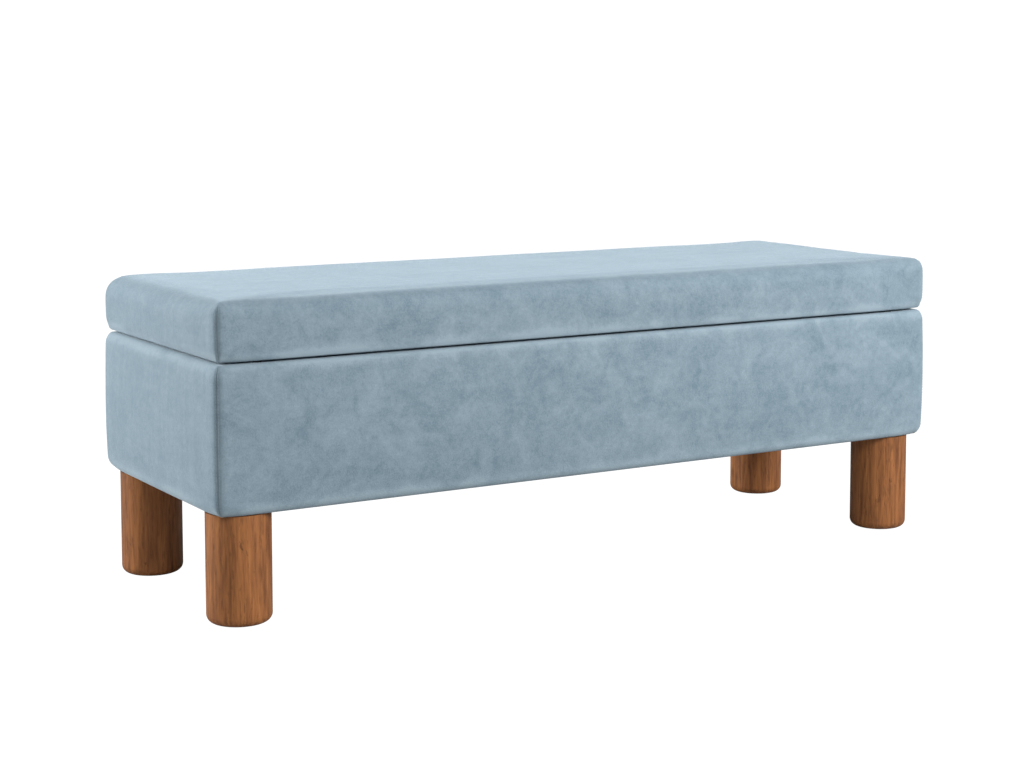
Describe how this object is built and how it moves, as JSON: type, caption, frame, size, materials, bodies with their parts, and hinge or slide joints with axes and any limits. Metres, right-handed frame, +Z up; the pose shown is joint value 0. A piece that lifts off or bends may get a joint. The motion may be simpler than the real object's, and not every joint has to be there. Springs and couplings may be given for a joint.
{
  "type": "storage ottoman",
  "caption": "Long upholstered storage bench: a velvet box on fat round wooden legs, with a padded lid hinged along the rear over a lined compartment.",
  "frame": {"origin": "on the floor, below the middle of the bench", "axes": "+X along the bench to the right as seen from the front, -Y to the front, +Z up"},
  "size_m": [1.25, 0.44, 0.45],
  "materials": {
    "velvet": "matte",
    "leg_wood": "satin",
    "plywood": "matte",
    "block_wood": "matte",
    "foam": "matte",
    "wadding": "matte",
    "lining": "matte",
    "dust_cloth": "matte",
    "felt": "matte",
    "rubber": "matte",
    "hinge_steel": "satin",
    "stay_steel": "satin",
    "zinc": "satin"
  },
  "bodies": {
    "box": {"front_left_leg": "leg_wood", "front_right_leg": "leg_wood", "rear_left_leg": "leg_wood", "rear_right_leg": "leg_wood", "leg_pads": "felt", "hanger_bolts": "zinc", "tee_nuts": "zinc", "floor_panel": "plywood", "front_panel": "plywood", "rear_panel": "plywood", "left_panel": "plywood", "right_panel": "plywood", "corner_blocks": "block_wood", "frame_screws": "zinc", "front_padding": "foam", "rear_padding": "foam", "left_padding": "foam", "right_padding": "foam", "front_cover": "velvet", "rear_cover": "velvet", "left_cover": "velvet", "right_cover": "velvet", "front_lining": "lining", "rear_lining": "lining", "left_lining": "lining", "right_lining": "lining", "floor_lining": "lining", "dust_cover": "dust_cloth", "dust_cover_staples": "zinc", "rim_bumpers": "rubber", "hinge_box_leaf": "hinge_steel", "hinge_pin": "hinge_steel", "hinge_box_screws": "zinc", "left_stay_stud": "stay_steel", "right_stay_stud": "stay_steel", "stay_stud_screws": "zinc"},
    "lid": {"lid_board": "plywood", "lid_foam": "foam", "lid_wadding": "wadding", "lid_cover": "velvet", "lid_lining": "lining", "lid_lining_staples": "zinc", "hinge_lid_leaf": "hinge_steel", "hinge_lid_screws": "zinc", "left_stay_bracket": "stay_steel", "right_stay_bracket": "stay_steel", "stay_bracket_screws": "zinc", "stay_rivets": "stay_steel"},
    "left_stay": {"left_stay_arm": "stay_steel"},
    "right_stay": {"right_stay_arm": "stay_steel"}
  },
  "joints": [
    {"name": "lid_hinge", "type": "hinge", "parent": "box", "child": "lid", "pos_m": [0, 0.214, 0.365], "axis": [-1, 0, 0], "range_deg": [0, 85]},
    {"name": "left_stay_pivot", "type": "hinge", "parent": "lid", "child": "left_stay", "pos_m": [-0.5912, 0.11154, 0.35513], "axis": [1, 0, 0], "range_deg": [0, 42.5]},
    {"name": "right_stay_pivot", "type": "hinge", "parent": "lid", "child": "right_stay", "pos_m": [0.5912, 0.11154, 0.35513], "axis": [1, 0, 0], "range_deg": [0, 42.5]}
  ],
  "couplings": [
    {"joint": "left_stay_pivot", "follows": "lid_hinge", "ratio": 0.5},
    {"joint": "right_stay_pivot", "follows": "lid_hinge", "ratio": 0.5}
  ]
}
